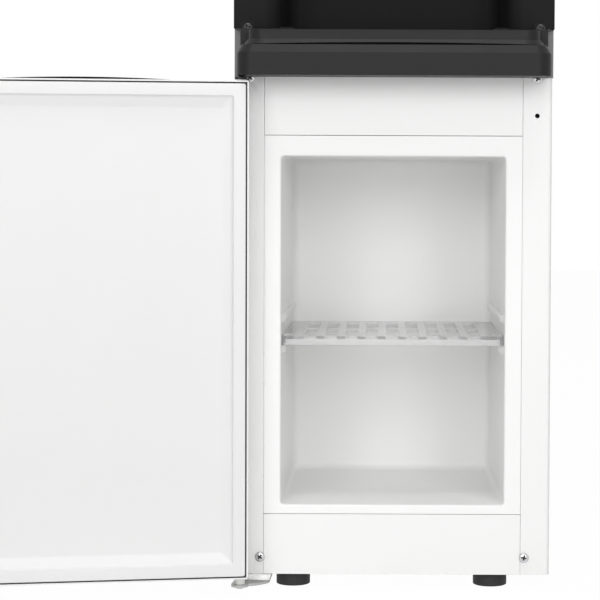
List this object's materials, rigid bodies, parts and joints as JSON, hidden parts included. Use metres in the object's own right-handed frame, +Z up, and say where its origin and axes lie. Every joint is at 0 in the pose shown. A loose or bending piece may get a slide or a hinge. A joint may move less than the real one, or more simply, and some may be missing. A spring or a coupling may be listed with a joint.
{
  "type": "water cooler",
  "caption": "free-standing hot and cold water dispenser with a taps niche, drip tray and open storage cabinet holding a clear slotted shelf behind a hinged white door",
  "frame": {"origin": "on the floor at the middle of the four feet, which is the middle of the casing's footprint", "axes": "+Z up, the front with the taps and the door faces -Y, +X to the right when facing the front"},
  "size_m": [0.6041, 0.4682, 0.971],
  "materials": {
    "white_steel": "satin white powder coat",
    "white_plastic": "semi-gloss white moulding",
    "clear_plastic": "translucent clear moulding",
    "black_gloss": "high gloss black moulding",
    "black_satin": "satin black moulding",
    "chrome": "bright plated",
    "zinc": "zinc plated steel",
    "nylon": "natural nylon",
    "black_rubber": "matte",
    "black_enamel": "black enamel",
    "copper": "bare copper",
    "stainless": "stainless steel",
    "foam": "expanded foam",
    "hose_silicone": "translucent silicone",
    "red": "gloss red",
    "blue": "gloss blue",
    "amber": "translucent lens"
  },
  "bodies": {
    "cabinet": {"side_panel_left": "white_steel", "side_panel_right": "white_steel", "base_plate": "zinc", "front_top_panel": "white_steel", "plinth_panel": "white_steel", "cabinet_liner": "white_plastic", "back_panel": "white_steel", "compressor_cover": "white_steel", "lower_deck": "zinc", "upper_deck": "zinc", "foot_nuts": "zinc", "feet": "black_rubber", "lower_hinge_plate": "zinc", "upper_hinge_plate": "black_enamel", "hinge_pins": "zinc", "hinge_screws": "zinc", "tray_holder": "black_satin", "fascia_niche": "black_gloss", "head_shell": "black_gloss", "indicator_lenses": "amber", "tap_plate": "black_satin", "top_cover": "black_satin", "tap_hot_body": "black_satin", "tap_cold_body": "black_satin", "lever_pins": "stainless", "cold_tank": "stainless", "tank_insulation": "foam", "insulation_lid": "foam", "hot_tank": "stainless", "cold_hose": "hose_silicone", "hot_hose": "hose_silicone", "drain_hose": "hose_silicone", "compressor": "black_enamel", "compressor_mounts": "black_rubber", "condenser_tube": "black_enamel", "condenser_wires": "black_enamel", "condenser_brackets": "black_enamel", "discharge_pipe": "copper", "switch_plate": "black_satin", "drain_outlet": "white_plastic", "cord_gland": "black_rubber", "cabinet_screws": "chrome", "fascia_screws": "black_enamel", "rear_screws": "zinc"},
    "door": {"door_outer_shell": "white_plastic", "door_inner_panel": "white_plastic", "door_pull": "black_satin", "door_magnet": "black_rubber", "door_bushes": "nylon"},
    "shelf": {"shelf": "clear_plastic"},
    "drip_tray": {"drip_tray": "black_satin"},
    "drip_grille": {"drip_grille": "black_satin"},
    "hot_lever": {"tap_hot_lever": "red"},
    "cold_lever": {"tap_cold_lever": "blue"},
    "hot_lock": {"hot_lock_button": "red"},
    "bottle_seat": {"bottle_seat": "white_plastic", "feed_probe": "white_plastic"},
    "cooling_switch": {"switch_cooling": "black_satin"},
    "heating_switch": {"switch_heating": "red"},
    "drain_cap": {"drain_cap": "white_plastic"}
  },
  "joints": [
    {"name": "door_hinge", "type": "hinge", "parent": "cabinet", "child": "door", "pos_m": [-0.148, -0.199, 0.257], "axis": [0, 0, -1], "range_deg": [-170.7, 4]},
    {"name": "shelf_slide", "type": "slide", "parent": "cabinet", "child": "shelf", "axis": [0, -1, 0], "range_m": [0, 0.15]},
    {"name": "tray_slide", "type": "slide", "parent": "cabinet", "child": "drip_tray", "axis": [0, -1, 0], "range_m": [0, 0.05]},
    {"name": "grille_lift", "type": "slide", "parent": "drip_tray", "child": "drip_grille", "axis": [0, 0, 1], "range_m": [0, 0.025]},
    {"name": "hot_lever_press", "type": "hinge", "parent": "cabinet", "child": "hot_lever", "pos_m": [-0.046, -0.141, 0.765], "axis": [1, 0, 0], "range_deg": [0, 12], "stiffness_Nm_per_rad": 0.3, "springref_deg": -3.44},
    {"name": "cold_lever_press", "type": "hinge", "parent": "cabinet", "child": "cold_lever", "pos_m": [0.046, -0.141, 0.765], "axis": [1, 0, 0], "range_deg": [0, 12], "stiffness_Nm_per_rad": 0.3, "springref_deg": -3.44},
    {"name": "hot_lock_slide", "type": "slide", "parent": "cabinet", "child": "hot_lock", "axis": [0, 0, -1], "range_m": [0, 0.005], "stiffness_N_per_m": 60, "springref_m": -0.003},
    {"name": "seat_lift", "type": "slide", "parent": "cabinet", "child": "bottle_seat", "axis": [0, 0, 1], "range_m": [0, 0.06]},
    {"name": "cooling_switch_rock", "type": "hinge", "parent": "cabinet", "child": "cooling_switch", "pos_m": [0.078, 0.1762, 0.883], "axis": [1, 0, 0], "range_deg": [0, 18]},
    {"name": "heating_switch_rock", "type": "hinge", "parent": "cabinet", "child": "heating_switch", "pos_m": [0.106, 0.1762, 0.883], "axis": [1, 0, 0], "range_deg": [0, 18]},
    {"name": "drain_cap_turn", "type": "hinge", "parent": "cabinet", "child": "drain_cap", "pos_m": [-0.1, 0.19, 0.036], "axis": [0, 1, 0], "continuous": true}
  ]
}
